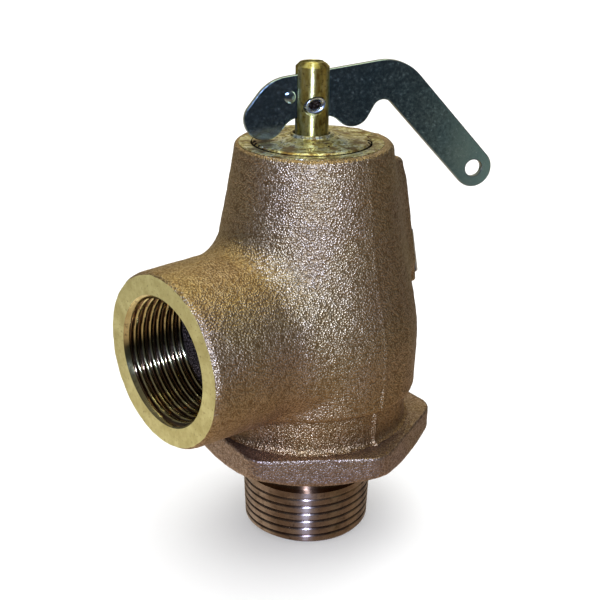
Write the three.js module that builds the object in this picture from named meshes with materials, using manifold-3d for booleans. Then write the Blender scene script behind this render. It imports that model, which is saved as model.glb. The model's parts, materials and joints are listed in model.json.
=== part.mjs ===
// Pressure relief valve: bronze side-outlet body on a hexagon inlet nozzle, with a spring-loaded disc
// and a flat test lever that lifts the stem. Millimetres, +Z up along the stem.
// Origin: centre of the inlet's lower end face. The outlet faces -X.
import * as THREE from 'three';
import { mergeVertices } from 'three/addons/utils/BufferGeometryUtils.js';
import Module from 'manifold-3d';

// ---- facets on a full circle ----
const FINE = 64;
const MEDIUM = 36;
const SMALL = 20;

// ---- general ----
const GAP = 0.3;                    // clearance between neighbouring pieces
const TURN = 2 * Math.PI;

// ---- inlet nozzle ----
const NPT_TAPER = 1 / 32;           // change of thread radius per length
const INLET_END_R = 16.6;           // crest radius at the lower end
const INLET_THREAD_TOP = 18.2;
const INLET_NECK_R = 16.7;
const INLET_CHAMFER = 0.8;
const HEX_BOTTOM = 23.9;
const HEX_TOP = 31.6;
const HEX_ACROSS_FLATS = 56;
const HEX_CORNER_R = 3.2;           // rounding of the vertical corners
const HEX_TURN = THREE.MathUtils.degToRad(-7);
const HEX_CHAMFER_R = 27.3;         // where the turned chamfer meets the underside
const SPIGOT_R = 20.4;              // threaded into the body's neck
const SPIGOT_TOP = 40.6;
const NOZZLE_R = 14.4;
const NOZZLE_SHOULDER = 43.6;
const SEAT_Z = 47;
const SEAT_INNER_R = 9.5;
const SEAT_OUTER_R = 10.7;
const INLET_BORE_R = 12.6;

// ---- body ----
const NECK_BOTTOM = HEX_TOP + GAP;
const NECK_R = 25.3;
const NECK_TOP = 41;
const BODY_TOP = 103.4;
const BODY_RIM_R = 17;
const PLUG_BORE_R = 14.7;
const PLUG_BORE_BOTTOM = 91;
const CHAMBER_R = 22.3;
const CHAMBER_TOP = 69;
const OUTLET_Z = 58.15;
const OUTLET_FACE_X = 45.5;         // distance of the outlet face from the stem's axis
const OUTLET_BOSS_R = 21.35;
const OUTLET_RIM_R = 16.5;
const OUTLET_THREAD_R = 15;
const OUTLET_THREAD_LENGTH = 19;
const OUTLET_PASSAGE_R = 13.8;

// ---- nameplate pad, opposite the outlet ----
const PAD_HALF_WIDTH = 12.5;
const PAD_BOTTOM = 64.6;
const PAD_TOP = 99;
const PAD_BOTTOM_X = 27;            // where its sloping face is at the bottom
const PAD_TOP_X = 19.7;
const PAD_TOP_CHAMFER = 1.6;
const PLATE_WIDTH = 24;
const PLATE_HEIGHT = 13;
const PLATE_THICKNESS = 0.5;
const PLATE_UP = 8.6;              // plate's centre above the pad's lower edge, along the slope
const PLATE_SCREW_SPACING = 19;
const PLATE_SCREW_R = 0.9;
const PLATE_SCREW_HEAD_R = 1.7;

// ---- compression screw ----
const SCREW_R = 14.39;
const SCREW_BOTTOM = 93.4;
const SCREW_TOP = 103.95;
const HUB_R = 5.6;
const HUB_TOP = 105.4;

// ---- stem ----
const STEM_R = 4.05;
const STEM_BORE_R = STEM_R + GAP + 0.05;
const STEM_BOTTOM = 56.4;
const STEM_TOP = 122.6;
const STEM_CHAMFER = 1;
const STEM_SHOULDER_R = 6.2;
const STEM_SHOULDER_BOTTOM = 62.3;
const STEM_SHOULDER_TOP = 64.3;
const STEM_GROOVE_R = 3.3;
const RING_Z = 58.9;
const RING_HALF_HEIGHT = 0.4;

// ---- test lever and its pin ----
const LEVER_AZIMUTH = THREE.MathUtils.degToRad(-26);
const LEVER_THICKNESS = 1.6;
const PIN_Z = 112.7;
const PIN_R = 1.75;
const PIN_BORE_R = 1;
const PIN_LENGTH = 7.2;
const SLOT_WIDTH = LEVER_THICKNESS + 2 * GAP;
const SLOT_BOTTOM = 103.5;
const CHAIN_HOLE = [42.4, -18.3];  // from the pin, along the lever and up
const CHAIN_HOLE_R = 2.4;
const NUB_R = 1.3;
const NUB_HEIGHT = 0.5;

// ---- disc assembly ----
const HOLDER_R = 13.6;
const HOLDER_TOP = 62;
const HOLDER_FLANGE_TOP = 52.8;
const HOLDER_HUB_R = 7.4;
const SOCKET_BOTTOM = 52;
const BALL_R = 1.9;
const SEAT_DISC_R = 11.4;
const SEAT_DISC_TOP = 49.7;
const GUIDE_R = 9.1;
const GUIDE_BOTTOM = 33;
const GUIDE_HUB_R = 3;
const GUIDE_FLANGE_R = 6.6;
const GUIDE_SHANK_R = 2.2;
const WING_COUNT = 3;
const WING_THICKNESS = 2;

// ---- spring and its steps ----
const WIRE_R = 1;
const COIL_R = 9.3;
const SPRING_BOTTOM = 67.7;
const SPRING_TOP = 90;
const COILS = 5.5;
const END_PITCH = 2.35;             // rise of the closed coil at each end
const STEP_R = 11.4;
const STEP_PILOT_R = 7.4;

const wasm = await Module();
wasm.setup();

// ---- solids ----
function signedVolume(positions, triangles) {
  const at = (index) => new THREE.Vector3().fromArray(positions, 3 * index);
  let volume = 0;
  for (let i = 0; i < triangles.length; i += 3) {
    const [a, b, c] = [at(triangles[i]), at(triangles[i + 1]), at(triangles[i + 2])];
    volume += a.dot(b.cross(c)) / 6;
  }
  return volume;
}

// A closed three.js geometry as a solid, with its faces turned outwards.
function solid(geometry) {
  const bare = geometry.index ? geometry.clone() : geometry;
  bare.deleteAttribute('normal');
  bare.deleteAttribute('uv');
  const merged = mergeVertices(bare, 1e-4);
  const positions = merged.attributes.position.array;
  const index = merged.index.array;
  const triangles = [];
  for (let i = 0; i < index.length; i += 3) {
    const [a, b, c] = [index[i], index[i + 1], index[i + 2]];
    if (a !== b && b !== c && c !== a) triangles.push(a, b, c);
  }
  if (signedVolume(positions, triangles) < 0) triangles.reverse();
  return new wasm.Manifold(new wasm.Mesh({
    numProp: 3,
    vertProperties: Float32Array.from(positions),
    triVerts: Uint32Array.from(triangles),
  }));
}

function toGeometry(manifold) {
  const mesh = manifold.getMesh();
  const geometry = new THREE.BufferGeometry();
  geometry.setAttribute('position', new THREE.BufferAttribute(Float32Array.from(mesh.vertProperties), 3));
  geometry.setIndex(new THREE.BufferAttribute(Uint32Array.from(mesh.triVerts), 1));
  geometry.computeVertexNormals();
  return geometry;
}

// A solid of revolution about Z from [radius, z] points that start and end on the axis.
function turned(profile, facets = MEDIUM) {
  const points = profile.map(([radius, z]) => new THREE.Vector2(radius, z));
  return solid(new THREE.LatheGeometry(points, facets).rotateX(Math.PI / 2));
}

function rod(radius, bottom, top, facets = MEDIUM) {
  return turned([[0, bottom], [radius, bottom], [radius, top], [0, top]], facets);
}

function cone(bottomRadius, bottom, topRadius, top, facets = MEDIUM) {
  return turned([[0, bottom], [bottomRadius, bottom], [topRadius, top], [0, top]], facets);
}

// The same solids lying along -X at the outlet's height: z along the rod becomes distance from the stem.
function alongOutlet(manifold) {
  const matrix = new THREE.Matrix4().makeRotationY(-Math.PI / 2).setPosition(0, 0, OUTLET_Z);
  return manifold.transform(matrix.toArray());
}

function box(xSize, ySize, zSize, x = 0, y = 0, z = 0) {
  return solid(new THREE.BoxGeometry(xSize, ySize, zSize).translate(x, y, z));
}

function extruded(points, height) {
  return solid(new THREE.ExtrudeGeometry(new THREE.Shape(points), { depth: height, bevelEnabled: false }));
}

// ---- outlines ----
// A belt round a run of circles [x, y, radius], anticlockwise. A negative radius is a hollow curve.
function beltOutline(circles, facets) {
  const normalAngle = ([x1, y1, r1], [x2, y2, r2]) => {
    const along = Math.atan2(y2 - y1, x2 - x1);
    return along - Math.PI / 2 + Math.asin((r1 - r2) / Math.hypot(x2 - x1, y2 - y1));
  };
  const points = [];
  circles.forEach((circle, i) => {
    const [x, y, radius] = circle;
    const start = normalAngle(circles.at(i - 1), circle);
    let sweep = normalAngle(circle, circles[(i + 1) % circles.length]) - start;
    sweep = THREE.MathUtils.euclideanModulo(sweep, TURN);
    if (radius < 0) sweep -= TURN;
    const count = Math.max(2, Math.ceil(Math.abs(sweep) / TURN * facets));
    for (let k = 0; k <= count; k += 1) {
      const angle = start + sweep * k / count;
      points.push(new THREE.Vector2(x + radius * Math.cos(angle), y + radius * Math.sin(angle)));
    }
  });
  return points;
}

function hexagonOutline() {
  const cornerDistance = (HEX_ACROSS_FLATS / 2 - HEX_CORNER_R) / Math.cos(Math.PI / 6);
  const circles = [];
  for (let i = 0; i < 6; i += 1) {
    const angle = HEX_TURN + (i + 0.5) * TURN / 6;
    circles.push([cornerDistance * Math.cos(angle), cornerDistance * Math.sin(angle), HEX_CORNER_R]);
  }
  return beltOutline(circles, SMALL);
}

// ---- pressure parts ----
function inletNozzle() {
  const threadTopR = INLET_END_R + INLET_THREAD_TOP * NPT_TAPER;
  const outside = turned([
    [0, 0], [INLET_END_R - INLET_CHAMFER, 0], [INLET_END_R, INLET_CHAMFER], [threadTopR, INLET_THREAD_TOP],
    [INLET_NECK_R, INLET_THREAD_TOP + 0.6], [INLET_NECK_R, HEX_BOTTOM + 1], [SPIGOT_R, HEX_TOP - 1],
    [SPIGOT_R, SPIGOT_TOP], [NOZZLE_R, SPIGOT_TOP], [NOZZLE_R, NOZZLE_SHOULDER],
    [SEAT_OUTER_R + 0.6, SEAT_Z - 0.9], [SEAT_OUTER_R, SEAT_Z - 0.6], [SEAT_OUTER_R, SEAT_Z], [0, SEAT_Z],
  ], FINE);
  const chamferHeight = HEX_TOP - HEX_BOTTOM;
  const chamfer = cone(HEX_CHAMFER_R, HEX_BOTTOM, HEX_CHAMFER_R + chamferHeight * 2, HEX_TOP, FINE);
  const hexagon = extruded(hexagonOutline(), chamferHeight).translate([0, 0, HEX_BOTTOM]).intersect(chamfer);
  const bore = turned([
    [0, -1], [INLET_BORE_R, -1], [INLET_BORE_R, 26], [SEAT_INNER_R, 32], [SEAT_INNER_R, SEAT_Z + 1],
    [0, SEAT_Z + 1],
  ]);
  return outside.add(hexagon).subtract(bore);
}

function bodyOutside() {
  const bowl = turned([
    [0, NECK_BOTTOM], [NECK_R + 0.2, NECK_BOTTOM], [NECK_R, NECK_TOP], [NECK_R + 0.7, NECK_TOP],
    [26.9, 42.2], [27.6, 44.4], [27.8, 50], [27.8, 56.5], [27.3, 61], [26.3, 65.3], [24.9, 71.5],
    [22.8, 81], [20.9, 91], [19.2, 99], [18.8, 101], [18.4, 102.2], [BODY_RIM_R + 0.9, 103],
    [BODY_RIM_R, BODY_TOP],
    [0, BODY_TOP],
  ], FINE);
  const boss = alongOutlet(rod(OUTLET_BOSS_R, 4, OUTLET_FACE_X, FINE));
  return bowl.add(boss).add(nameplatePad());
}

function nameplatePad() {
  const side = [
    new THREE.Vector2(8, PAD_BOTTOM), new THREE.Vector2(PAD_BOTTOM_X, PAD_BOTTOM),
    new THREE.Vector2(PAD_TOP_X, PAD_TOP - PAD_TOP_CHAMFER),
    new THREE.Vector2(PAD_TOP_X - PAD_TOP_CHAMFER, PAD_TOP), new THREE.Vector2(8, PAD_TOP),
  ];
  const block = extruded(side, 2 * PAD_HALF_WIDTH);
  const upright = new THREE.Matrix4().makeRotationX(Math.PI / 2).setPosition(0, PAD_HALF_WIDTH, 0);
  return block.transform(upright.toArray());
}

function bodyHollow() {
  const chamber = turned([
    [0, NECK_BOTTOM - 1], [SPIGOT_R + GAP, NECK_BOTTOM - 1], [SPIGOT_R + GAP, NECK_TOP],
    [CHAMBER_R, NECK_TOP + 2], [CHAMBER_R, CHAMBER_TOP - 6], [CHAMBER_R - 1.6, CHAMBER_TOP],
    [15.6, 86], [PLUG_BORE_R, PLUG_BORE_BOTTOM], [PLUG_BORE_R, BODY_TOP + 1], [0, BODY_TOP + 1],
  ]);
  const threadEnd = OUTLET_FACE_X - OUTLET_THREAD_LENGTH;
  const outlet = alongOutlet(turned([
    [0, 6], [OUTLET_PASSAGE_R, 6], [OUTLET_PASSAGE_R, threadEnd - 1.5], [OUTLET_THREAD_R, threadEnd],
    [OUTLET_THREAD_R, OUTLET_FACE_X - 1.2], [OUTLET_RIM_R, OUTLET_FACE_X], [OUTLET_RIM_R, OUTLET_FACE_X + 1],
    [0, OUTLET_FACE_X + 1],
  ]));
  return chamber.add(outlet);
}

function valveBody() {
  let body = bodyOutside().subtract(bodyHollow());
  for (const side of [-1, 1]) {
    body = body.subtract(onPad(rod(PLATE_SCREW_R + GAP, -3.5, 2, SMALL), side * PLATE_SCREW_SPACING / 2));
  }
  return body;
}

// ---- nameplate: built flat at the origin, then laid on the pad's sloping face ----
const padSlope = Math.atan2(PAD_BOTTOM_X - PAD_TOP_X, PAD_TOP - PAD_TOP_CHAMFER - PAD_BOTTOM);

function onPad(manifold, across) {
  const outward = new THREE.Vector3(Math.cos(padSlope), 0, Math.sin(padSlope));
  const up = new THREE.Vector3(-Math.sin(padSlope), 0, Math.cos(padSlope));
  const sideways = new THREE.Vector3().crossVectors(up, outward);
  const place = new THREE.Vector3(PAD_BOTTOM_X, 0, PAD_BOTTOM).addScaledVector(up, PLATE_UP);
  place.addScaledVector(sideways, across);
  const matrix = new THREE.Matrix4().makeBasis(sideways, up.negate(), outward).setPosition(place);
  if (matrix.determinant() < 0) matrix.multiply(new THREE.Matrix4().makeScale(1, -1, 1));
  return manifold.transform(matrix.toArray());
}

function nameplate() {
  const corner = 1;
  const halfWidth = PLATE_WIDTH / 2 - corner;
  const halfHeight = PLATE_HEIGHT / 2 - corner;
  const corners = [[1, -1], [1, 1], [-1, 1], [-1, -1]];
  const outline = beltOutline(corners.map(([x, y]) => [x * halfWidth, y * halfHeight, corner]), SMALL);
  let plate = extruded(outline, PLATE_THICKNESS).translate([0, 0, GAP]);
  for (const side of [-1, 1]) {
    const hole = rod(PLATE_SCREW_R + GAP, -1, 2, SMALL);
    plate = plate.subtract(hole.translate([side * PLATE_SCREW_SPACING / 2, 0, 0]));
  }
  return onPad(plate, 0);
}

function nameplateScrew(side) {
  const headBottom = 2 * GAP + PLATE_THICKNESS;
  const screw = turned([
    [0, -3], [PLATE_SCREW_R, -2.6], [PLATE_SCREW_R, headBottom], [PLATE_SCREW_HEAD_R, headBottom],
    [PLATE_SCREW_HEAD_R * 0.8, headBottom + 0.6], [0, headBottom + 0.9],
  ], SMALL);
  return onPad(screw, side * PLATE_SCREW_SPACING / 2);
}

// ---- top works ----
function compressionScrew() {
  const outside = turned([
    [0, SCREW_BOTTOM], [SCREW_R - 1, SCREW_BOTTOM], [SCREW_R, SCREW_BOTTOM + 1], [SCREW_R, SCREW_TOP - 0.5],
    [SCREW_R - 0.6, SCREW_TOP], [HUB_R, SCREW_TOP], [HUB_R, HUB_TOP - 0.3], [HUB_R - 0.3, HUB_TOP],
    [0, HUB_TOP],
  ], FINE);
  return outside.subtract(rod(STEM_BORE_R, SCREW_BOTTOM - 1, HUB_TOP + 1));
}

// The lever's own frame has x along the lever and y up, with its pin at the origin.
function alongLever(manifold) {
  const along = new THREE.Vector3(Math.cos(LEVER_AZIMUTH), Math.sin(LEVER_AZIMUTH), 0);
  const up = new THREE.Vector3(0, 0, 1);
  const normal = new THREE.Vector3().crossVectors(along, up);
  return manifold.transform(new THREE.Matrix4().makeBasis(along, up, normal).setPosition(0, 0, PIN_Z).toArray());
}

function stem() {
  const groove = RING_HALF_HEIGHT + GAP;
  const bar = turned([
    [0, STEM_BOTTOM], [STEM_R - 0.8, STEM_BOTTOM], [STEM_R, STEM_BOTTOM + 0.8], [STEM_R, RING_Z - groove],
    [STEM_GROOVE_R, RING_Z - groove], [STEM_GROOVE_R, RING_Z + groove], [STEM_R, RING_Z + groove],
    [STEM_R, STEM_SHOULDER_BOTTOM], [STEM_SHOULDER_R, STEM_SHOULDER_BOTTOM],
    [STEM_SHOULDER_R, STEM_SHOULDER_TOP], [STEM_R, STEM_SHOULDER_TOP],
    [STEM_R, STEM_TOP - STEM_CHAMFER], [STEM_R - STEM_CHAMFER, STEM_TOP], [0, STEM_TOP],
  ]);
  const slotHeight = STEM_TOP + 1 - SLOT_BOTTOM;
  const slot = alongLever(box(3 * STEM_R, slotHeight, SLOT_WIDTH, 0, SLOT_BOTTOM + slotHeight / 2 - PIN_Z, 0));
  const crossHole = alongLever(rod(PIN_R + GAP, -2 * STEM_R, 2 * STEM_R, SMALL));
  return bar.subtract(slot).subtract(crossHole);
}

function leverOutline() {
  return beltOutline([
    [...CHAIN_HOLE, 4.7],           // round end with the chain hole
    [18, -2.3, 12],                 // shoulder where the handle turns down
    [-5.2, -3.6, 10.2],             // back of the cam
    [-11.7, -3.45, 5],              // heel, the lobe that bears on the compression screw
    [-3, -8, -4.7],                 // clearance over the hub
    [3.4, -7.5, -4.3],
    [10, -1.6, 4.5],                // toe, the second lobe
    [17.75, -2.35, -2.65],          // finger hook between the toe and the handle
  ], MEDIUM);
}

function lever() {
  const start = -LEVER_THICKNESS / 2;
  const end = LEVER_THICKNESS / 2;
  const plate = extruded(leverOutline(), LEVER_THICKNESS).translate([0, 0, start]);
  const nub = turned([
    [0, 0], [NUB_R, 0], [NUB_R, end], [NUB_R - 0.4, end + NUB_HEIGHT], [0, end + NUB_HEIGHT],
  ], SMALL).translate([-5.6, 1.7, 0]);
  const pinHole = rod(PIN_R + GAP, start - 1, end + 1, SMALL);
  const chainHole = rod(CHAIN_HOLE_R, start - 1, end + 1, SMALL).translate([...CHAIN_HOLE, 0]);
  return alongLever(plate.add(nub).subtract(pinHole).subtract(chainHole));
}

function leverPin() {
  const half = PIN_LENGTH / 2;
  return alongLever(rod(PIN_R, -half, half, SMALL).subtract(rod(PIN_BORE_R, -half - 1, half + 1, SMALL)));
}

// ---- spring set ----
class SpringCurve extends THREE.Curve {
  getPoint(t, target = new THREE.Vector3()) {
    const turns = t * COILS;
    const low = SPRING_BOTTOM + WIRE_R;
    const middleRise = SPRING_TOP - SPRING_BOTTOM - 2 * WIRE_R - 2 * END_PITCH;
    const fromLow = Math.min(turns, 1) * END_PITCH;
    const middle = THREE.MathUtils.clamp((turns - 1) / (COILS - 2), 0, 1) * middleRise;
    const toHigh = Math.max(turns - COILS + 1, 0) * END_PITCH;
    const angle = turns * TURN;
    return target.set(COIL_R * Math.cos(angle), COIL_R * Math.sin(angle), low + fromLow + middle + toHigh);
  }
}

function spring() {
  const section = [];
  for (let i = 0; i < 8; i += 1) {
    const angle = (i + 0.5) * TURN / 8;
    section.push(new THREE.Vector2(WIRE_R * Math.cos(angle), WIRE_R * Math.sin(angle)));
  }
  const steps = Math.round(COILS * 16);
  return solid(new THREE.ExtrudeGeometry(new THREE.Shape(section), { extrudePath: new SpringCurve(), steps }));
}

function springStep(faceZ, direction) {
  const at = (offset) => faceZ + direction * offset;
  const profile = [
    [0, at(-2)], [STEP_PILOT_R - 0.6, at(-2)], [STEP_PILOT_R, at(-1.4)], [STEP_PILOT_R, at(0)],
    [STEP_R, at(0)], [STEP_R, at(1.8)], [STEP_R - 1, at(2.8)], [0, at(2.8)],
  ];
  return turned(profile).subtract(rod(STEM_BORE_R, faceZ - 5, faceZ + 5));
}

// ---- disc assembly ----
function discHolder() {
  const outside = turned([
    [0, SEAT_Z + 0.7], [HOLDER_R, SEAT_Z + 0.7], [HOLDER_R, HOLDER_FLANGE_TOP - 1],
    [HOLDER_R - 1, HOLDER_FLANGE_TOP], [HOLDER_HUB_R + 1, HOLDER_FLANGE_TOP],
    [HOLDER_HUB_R, HOLDER_FLANGE_TOP + 1], [HOLDER_HUB_R, HOLDER_TOP], [0, HOLDER_TOP],
  ]);
  const undercut = RING_HALF_HEIGHT + GAP;
  const socketR = STEM_R + GAP;
  const socket = turned([
    [0, SOCKET_BOTTOM], [socketR, SOCKET_BOTTOM], [socketR, RING_Z - undercut],
    [socketR + 1.3, RING_Z - undercut], [socketR + 1.3, RING_Z + undercut], [socketR, RING_Z + undercut],
    [socketR, HOLDER_TOP + 1], [0, HOLDER_TOP + 1],
  ]);
  const recess = rod(SEAT_DISC_R + GAP, SEAT_Z - 1, SEAT_DISC_TOP + GAP);
  return outside.subtract(socket).subtract(recess).subtract(rod(GUIDE_SHANK_R + GAP, SEAT_Z, SOCKET_BOTTOM + 1));
}

function seatDisc() {
  return rod(SEAT_DISC_R, SEAT_Z + GAP, SEAT_DISC_TOP).subtract(rod(GUIDE_SHANK_R + GAP, SEAT_Z, SEAT_DISC_TOP + 1));
}

function discGuide() {
  const flangeBottom = SEAT_Z - 1.6;
  let guide = turned([
    [0, GUIDE_BOTTOM], [GUIDE_HUB_R, GUIDE_BOTTOM], [GUIDE_HUB_R, flangeBottom],
    [GUIDE_FLANGE_R, flangeBottom], [GUIDE_FLANGE_R, SEAT_Z], [GUIDE_SHANK_R, SEAT_Z],
    [GUIDE_SHANK_R, SOCKET_BOTTOM - GAP], [0, SOCKET_BOTTOM - GAP],
  ], MEDIUM);
  const wingHeight = SEAT_Z - 3.6 - GUIDE_BOTTOM;
  for (let i = 0; i < WING_COUNT; i += 1) {
    const wing = box(GUIDE_R, WING_THICKNESS, wingHeight, GUIDE_R / 2, 0, GUIDE_BOTTOM + wingHeight / 2);
    guide = guide.add(wing.rotate([0, 0, (i + 0.5) * 360 / WING_COUNT]));
  }
  return guide;
}

function thrustBall() {
  return solid(new THREE.SphereGeometry(BALL_R, SMALL, SMALL / 2).translate(0, 0, SOCKET_BOTTOM + GAP + BALL_R));
}

function retainingRing() {
  const innerR = STEM_GROOVE_R + GAP;
  const outerR = STEM_R + 1.3;
  const low = RING_Z - RING_HALF_HEIGHT;
  const high = RING_Z + RING_HALF_HEIGHT;
  const ring = rod(outerR, low, high, MEDIUM).subtract(rod(innerR, low - 1, high + 1, MEDIUM));
  return ring.subtract(box(2 * outerR, 2.4, 4, outerR, 0, RING_Z));
}

// ---- materials ----
const finish = (color, roughness, metalness = 1) => new THREE.MeshStandardMaterial({ color, roughness, metalness });
const castBronze = finish(0x8a6a48, 0.55);
const turnedBronze = finish(0x7a5a3c, 0.4);
const brass = finish(0xb59a48, 0.25);
const zinc = finish(0x6a7880, 0.25);
const springSteel = finish(0x8c8f92, 0.3);
const stainless = finish(0xb8babc, 0.3);
const softSeat = finish(0xe8e6de, 0.5, 0);
const plateAluminium = finish(0xc4ccd4, 0.35);

const valve = new THREE.Group();

function addPiece(name, manifold, material) {
  const mesh = new THREE.Mesh(toGeometry(manifold), material);
  mesh.name = name;
  valve.add(mesh);
}

addPiece('valve_body', valveBody(), castBronze);
addPiece('inlet_nozzle', inletNozzle(), turnedBronze);
addPiece('compression_screw', compressionScrew(), brass);
addPiece('nameplate', nameplate(), plateAluminium);
addPiece('nameplate_screw_left', nameplateScrew(-1), stainless);
addPiece('nameplate_screw_right', nameplateScrew(1), stainless);
addPiece('upper_spring_step', springStep(SPRING_TOP + GAP, 1), brass);
addPiece('spring', spring(), springSteel);
addPiece('lower_spring_step', springStep(SPRING_BOTTOM - GAP, -1), brass);
addPiece('disc_holder', discHolder(), brass);
addPiece('seat_disc', seatDisc(), softSeat);
addPiece('disc_guide', discGuide(), brass);
addPiece('thrust_ball', thrustBall(), stainless);
addPiece('stem_retaining_ring', retainingRing(), springSteel);
addPiece('stem', stem(), brass);
addPiece('lever_pin', leverPin(), stainless);
addPiece('lever', lever(), zinc);

export default valve;
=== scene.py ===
"""Looks of the pressure relief valve: rough cast bronze body, hexagon inlet, brass stem and zinc-plated test lever."""
import json
import math

import bmesh
import bpy
import numpy as np
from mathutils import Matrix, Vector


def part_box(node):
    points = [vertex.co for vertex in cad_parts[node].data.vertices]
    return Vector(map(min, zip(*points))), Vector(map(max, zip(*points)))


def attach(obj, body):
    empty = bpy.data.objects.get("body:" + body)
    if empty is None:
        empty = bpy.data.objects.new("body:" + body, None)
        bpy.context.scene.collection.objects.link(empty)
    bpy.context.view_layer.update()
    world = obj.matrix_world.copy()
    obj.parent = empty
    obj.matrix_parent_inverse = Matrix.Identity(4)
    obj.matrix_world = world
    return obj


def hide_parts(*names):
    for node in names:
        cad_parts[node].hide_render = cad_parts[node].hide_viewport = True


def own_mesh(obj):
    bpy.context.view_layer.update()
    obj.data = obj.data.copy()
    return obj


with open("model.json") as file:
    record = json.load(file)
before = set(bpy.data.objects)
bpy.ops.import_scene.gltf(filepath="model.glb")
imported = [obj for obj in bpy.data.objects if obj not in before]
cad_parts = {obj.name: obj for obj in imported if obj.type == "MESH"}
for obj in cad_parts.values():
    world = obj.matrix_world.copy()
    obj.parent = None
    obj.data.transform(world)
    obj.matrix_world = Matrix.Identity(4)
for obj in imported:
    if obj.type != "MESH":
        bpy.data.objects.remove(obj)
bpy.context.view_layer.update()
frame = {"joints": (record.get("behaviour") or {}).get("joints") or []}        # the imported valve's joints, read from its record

import openvdb
from mathutils import Matrix, Vector, noise

MM = 0.001
TURN = 2 * math.pi


def box_mm(node):
    low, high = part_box(node)
    return low / MM, high / MM


body_low, body_high = box_mm("valve_body")
nozzle_low, nozzle_high = box_mm("inlet_nozzle")
screw_low, screw_high = box_mm("compression_screw")
stem_low, stem_high = box_mm("stem")
spring_low, spring_high = box_mm("spring")
holder_low, holder_high = box_mm("disc_holder")
guide_low, guide_high = box_mm("disc_guide")

# ---- body casting, in millimetres ----
NECK_R = 25.3
NECK_TOP = 41.0
NECK_FLARE = 1.3
BOWL_R = body_high.y
BOWL_ROUND = 1.2                 # rounding of the bowl's lower rim
BOWL_HEIGHTS = [40, 44, 50, 56.5, 61, 65.3, 71.5, 81, 91, 99, 104]
BOWL_RADII = [27.6, 27.6, 27.8, 27.8, 27.3, 26.3, 24.9, 22.9, 21.1, 19.8, 19.1]
CONE_SHIFT = 0.6                 # the cone stands this far off the stem's axis at its top
SHOULDER_ROUND = 0.9
RIM_STEP = 0.15                  # the turned rim stands this far above the cast shoulder
RIM_R = 17.6
OUTLET_Z = 58.15
OUTLET_FACE = -body_low.x
BOSS_R = 21.35
BOSS_TAPER = 0.03
BOSS_FILLET = 5.0
PAD_HALF_WIDTH = 12.5
PAD_BOTTOM = 64.6
PAD_TOP = 99.0
PAD_BOTTOM_X = 27.0
PAD_TOP_X = 19.7
PAD_FILLET = 5.0
SKIN_STEP = 0.5                  # mesh spacing of a casting

# ---- bores and threads ----
PIPE_PITCH = 25.4 / 11.5
PLUG_BORE_R = 14.7
CHAMBER_R = 22.3
SPIGOT_R = 20.4
OUTLET_THREAD_R = 15.0
OUTLET_THREAD_DEPTH = 1.0
OUTLET_THREAD_LENGTH = 16.5
OUTLET_PASSAGE_R = 13.8
OUTLET_RIM_R = 15.7

# ---- inlet nozzle ----
INLET_R = 16.6
PIPE_TAPER = 1 / 32
INLET_THREAD_TOP = 15.4
INLET_THREAD_DEPTH = 0.30
INLET_NECK_R = 16.4
INLET_BORE_R = 12.6
HEX_BOTTOM = 23.9
HEX_TOP = 31.6
HEX_APOTHEM = 28.1
HEX_SHIFT = 0.75                 # the cast hexagon stands this far off the stem's axis
HEX_CORNER_R = 6.6
HEX_TURN = math.radians(-7)
HEX_CHAMFER_R = 27.3
SEAT_R = 9.5

# ---- stem, lever and pin ----
STEM_R = 4.05
SLOT_WIDTH = 2.2
SLOT_BOTTOM = 103.5
PIN_R = 1.75
LEVER_THICKNESS = 1.6
LEVER_EDGE = 0.22
CHAIN_HOLE = (42.4, -18.3)
CHAIN_HOLE_R = 2.15
LEVER_NUB = (-5.6, 1.7)

# ---- camera ----
CAMERA_DISTANCE = 263.3
CAMERA_HEIGHT = 167.8
CAMERA_HEADING = math.radians(41.77)
CAMERA_TILT = math.radians(21.88)
CAMERA_PAN = math.radians(-0.5)
CAMERA_ROLL = math.radians(0.71)
CAMERA_LENS = 66.77


# ---- lights ----
KEY = 11.0
KEY_COLOUR = (0.37, 0.52, 0.96)
KEY_SIZE = 0.06
OVERHEAD = 4.0
OVERHEAD_COLOUR = (0.96, 1.0, 0.64)
SUN = 3.4
SKY = (                           # what metal mirrors, by the sine of its elevation
    (-1.0, (0.60, 0.51, 0.39)), (-0.50, (0.46, 0.37, 0.28)),
    (-0.26, (0.030, 0.036, 0.042)), (0.0, (0.040, 0.050, 0.060)),
    (0.2, (0.11, 0.12, 0.13)), (1.0, (0.16, 0.16, 0.16)),
)
GLOWS = (                         # soft bright areas: direction, inner and outer angle in degrees, colour
    ((-0.48, 0.73, -0.70), 6, 38, (0.62, 0.62, 0.55)),
    ((0.15, -0.96, -0.24), 8.5, 12.6, (0.37, 0.46, 0.37)),
    ((0.60, 0.75, 0.28), 20, 60, (0.36, 0.31, 0.17)),
    ((0.75, -0.66, -0.14), 5, 25, (0.20, 0.15, 0.04)),
)


# ---- meshes ----
def signed_volume(points, faces):
    """Six times the volume of a closed mesh, positive if its faces point out."""
    total = 0.0
    for face in faces:
        a = points[face[0]]
        for b, c in zip(face[1:], face[2:]):
            total += a.dot(points[b].cross(points[c]))
    return total


def make_object(name, points, faces, materials=(), place=None):
    """A mesh object from points in millimetres, with its faces turned outwards."""
    mesh = bpy.data.meshes.new(name)
    mesh.from_pydata([tuple(p) for p in points], [], [tuple(f) for f in faces])
    mesh.transform(Matrix.Scale(MM, 4) @ (place or Matrix.Identity(4)))
    corners = [v.co for v in mesh.vertices]
    if signed_volume(corners, [tuple(p.vertices) for p in mesh.polygons]) < 0:
        mesh.flip_normals()
    for material in materials:
        mesh.materials.append(material)
    made = bpy.data.objects.new(name, mesh)
    bpy.context.scene.collection.objects.link(made)
    return made


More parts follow.
